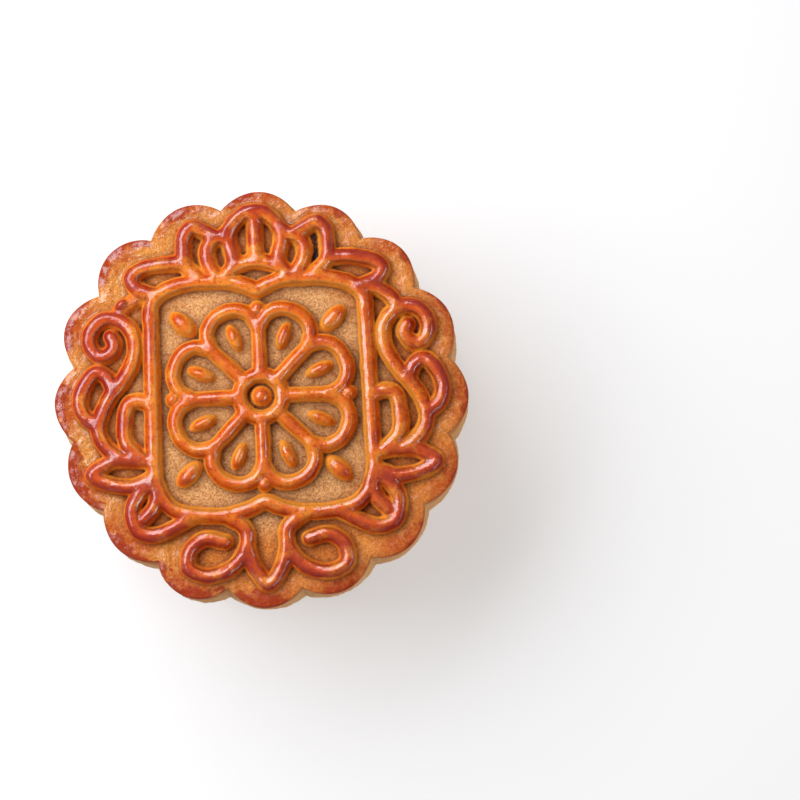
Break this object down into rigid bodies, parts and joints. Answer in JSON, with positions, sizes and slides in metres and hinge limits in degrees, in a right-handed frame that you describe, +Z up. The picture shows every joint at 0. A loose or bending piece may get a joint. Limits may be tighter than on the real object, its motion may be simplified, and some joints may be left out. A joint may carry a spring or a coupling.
{
  "type": "mooncake",
  "caption": "Round baked mooncake with a scalloped barrel side, and a raised lotus, leaf and scroll pattern round a framed flower panel, lying flat patterned side up",
  "frame": {"origin": "centre of the flat base", "axes": "+Z up through the patterned face, +Y towards the lotus at the top of the pattern, +X to its right"},
  "size_m": [0.0776, 0.0776, 0.0409],
  "materials": {
    "crust": "egg-washed baked crust: glossy orange-brown raised lines, matte tan floors between them, pale side"
  },
  "bodies": {
    "root": {"mooncake": "crust"}
  },
  "joints": []
}
